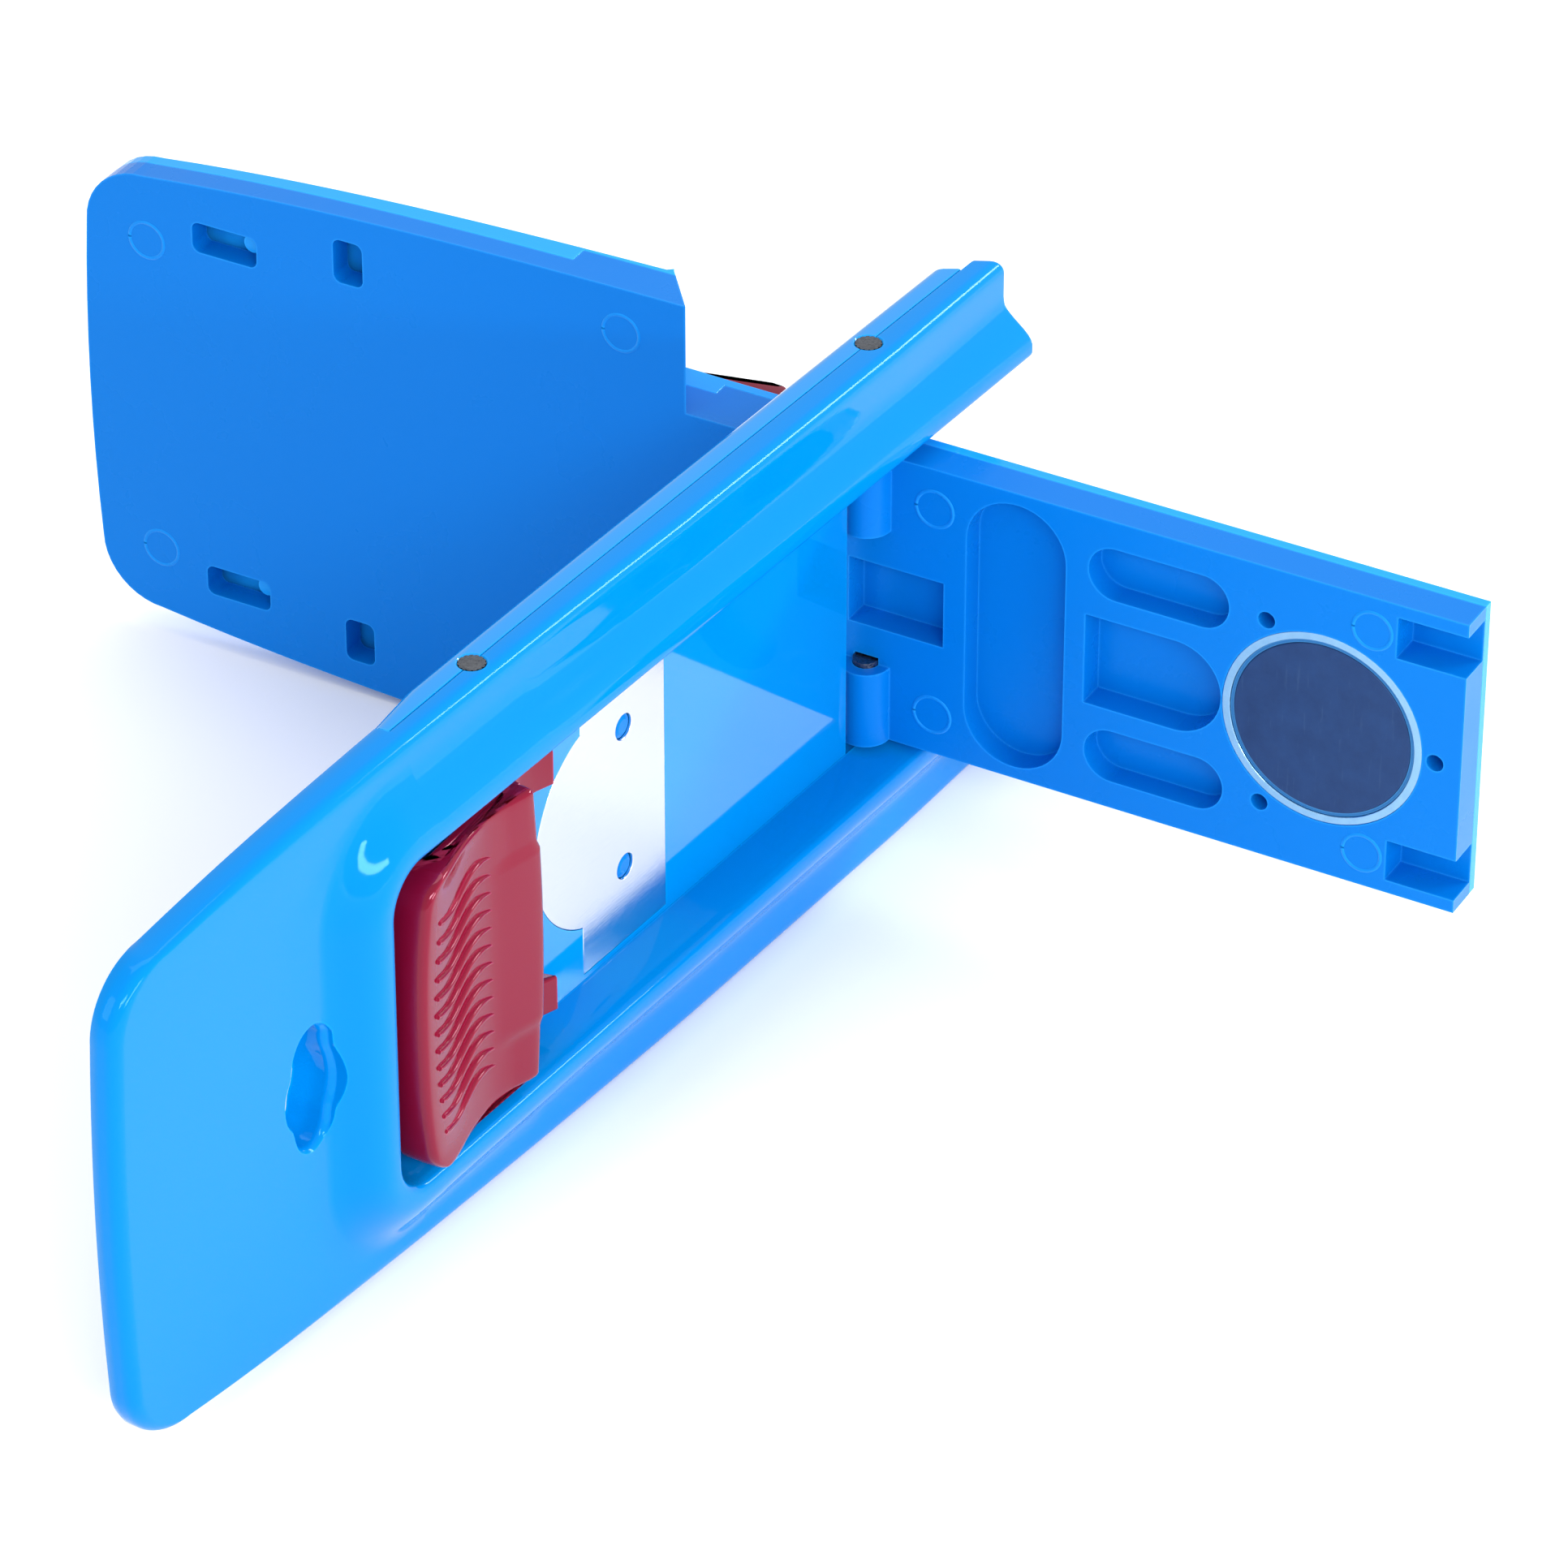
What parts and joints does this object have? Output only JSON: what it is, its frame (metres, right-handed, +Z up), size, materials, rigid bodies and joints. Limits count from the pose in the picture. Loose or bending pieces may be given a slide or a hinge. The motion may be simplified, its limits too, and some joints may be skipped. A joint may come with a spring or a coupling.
{
  "type": "folding magnetic cleaning pad frame",
  "caption": "Folding flat cleaning-pad frame: blue wings on a cross hinge, latched flat by a magnet and steel plate, with red foot pedals and a handle socket on a universal joint.",
  "frame": {"origin": "centre of the footprint on the ground, with the frame standing on the long edges of both wings", "axes": "+Z up across the frame's width, parallel to the hinge pins; +X along the long wing from its free end to the hinge; +Y towards the short wing's free end"},
  "size_m": [0.2755, 0.2881, 0.108],
  "materials": {
    "blue_shell": "glossy moulded ABS, cyan blue",
    "blue_inner": "satin moulded polypropylene, deeper blue",
    "red_pedal": "glossy moulded nylon, ruby red",
    "steel_plate": "bright rolled steel with fine scuffs",
    "pin_steel": "knurled dark steel",
    "spring_steel": "drawn spring wire and stamped steel",
    "ferrite": "ground dark ferrite",
    "cup_steel": "pressed steel cup, nickelled",
    "sleeve": "moulded spacer ring"
  },
  "bodies": {
    "long_wing": {"long_wing_shell": "blue_shell", "long_wing_base": "blue_inner", "strike_plate": "steel_plate", "strike_rivets": "blue_inner", "hinge_pins": "pin_steel", "pedal_pins": "pin_steel", "pedal_spring": "spring_steel"},
    "release_pedal": {"release_pedal": "red_pedal"},
    "short_wing": {"short_wing_base": "blue_inner", "short_wing_cover": "blue_shell", "magnet": "ferrite", "magnet_sleeve": "sleeve", "magnet_cup": "cup_steel", "clamp_pins": "pin_steel", "clamp_spring": "spring_steel"},
    "cloth_clamp": {"cloth_clamp": "red_pedal"},
    "joint_yoke": {"joint_yoke": "red_pedal", "joint_axle": "spring_steel", "axle_clip": "spring_steel", "axle_washers": "spring_steel", "cross_pins": "spring_steel"},
    "handle_socket": {"handle_socket": "red_pedal", "socket_screw": "spring_steel"}
  },
  "joints": [
    {"name": "wing_fold", "type": "hinge", "parent": "long_wing", "child": "short_wing", "pos_m": [0.0955, -0.02344, 0.054], "axis": [0, 0, 1], "range_deg": [-94, 50]},
    {"name": "pedal_press", "type": "hinge", "parent": "long_wing", "child": "release_pedal", "pos_m": [-0.0301, -0.02344, 0.054], "axis": [0, 0, -1], "range_deg": [0, 7], "stiffness_Nm_per_rad": 1, "springref_deg": -11.46, "deforming": ["pedal_spring"]},
    {"name": "clamp_lift", "type": "hinge", "parent": "short_wing", "child": "cloth_clamp", "pos_m": [0.093, 0.03232, 0.054], "axis": [0, 0, 1], "range_deg": [0, 25], "stiffness_Nm_per_rad": 0.3, "springref_deg": -22.92, "deforming": ["clamp_spring"]},
    {"name": "handle_tilt", "type": "hinge", "parent": "short_wing", "child": "joint_yoke", "pos_m": [0.12061, -0.05276, 0.054], "axis": [-0.0698, 0.9976, 0], "range_deg": [-50, 50]},
    {"name": "handle_swing", "type": "hinge", "parent": "joint_yoke", "child": "handle_socket", "pos_m": [0.12061, -0.05276, 0.054], "axis": [0, 0, 1], "range_deg": [0, 120]}
  ]
}
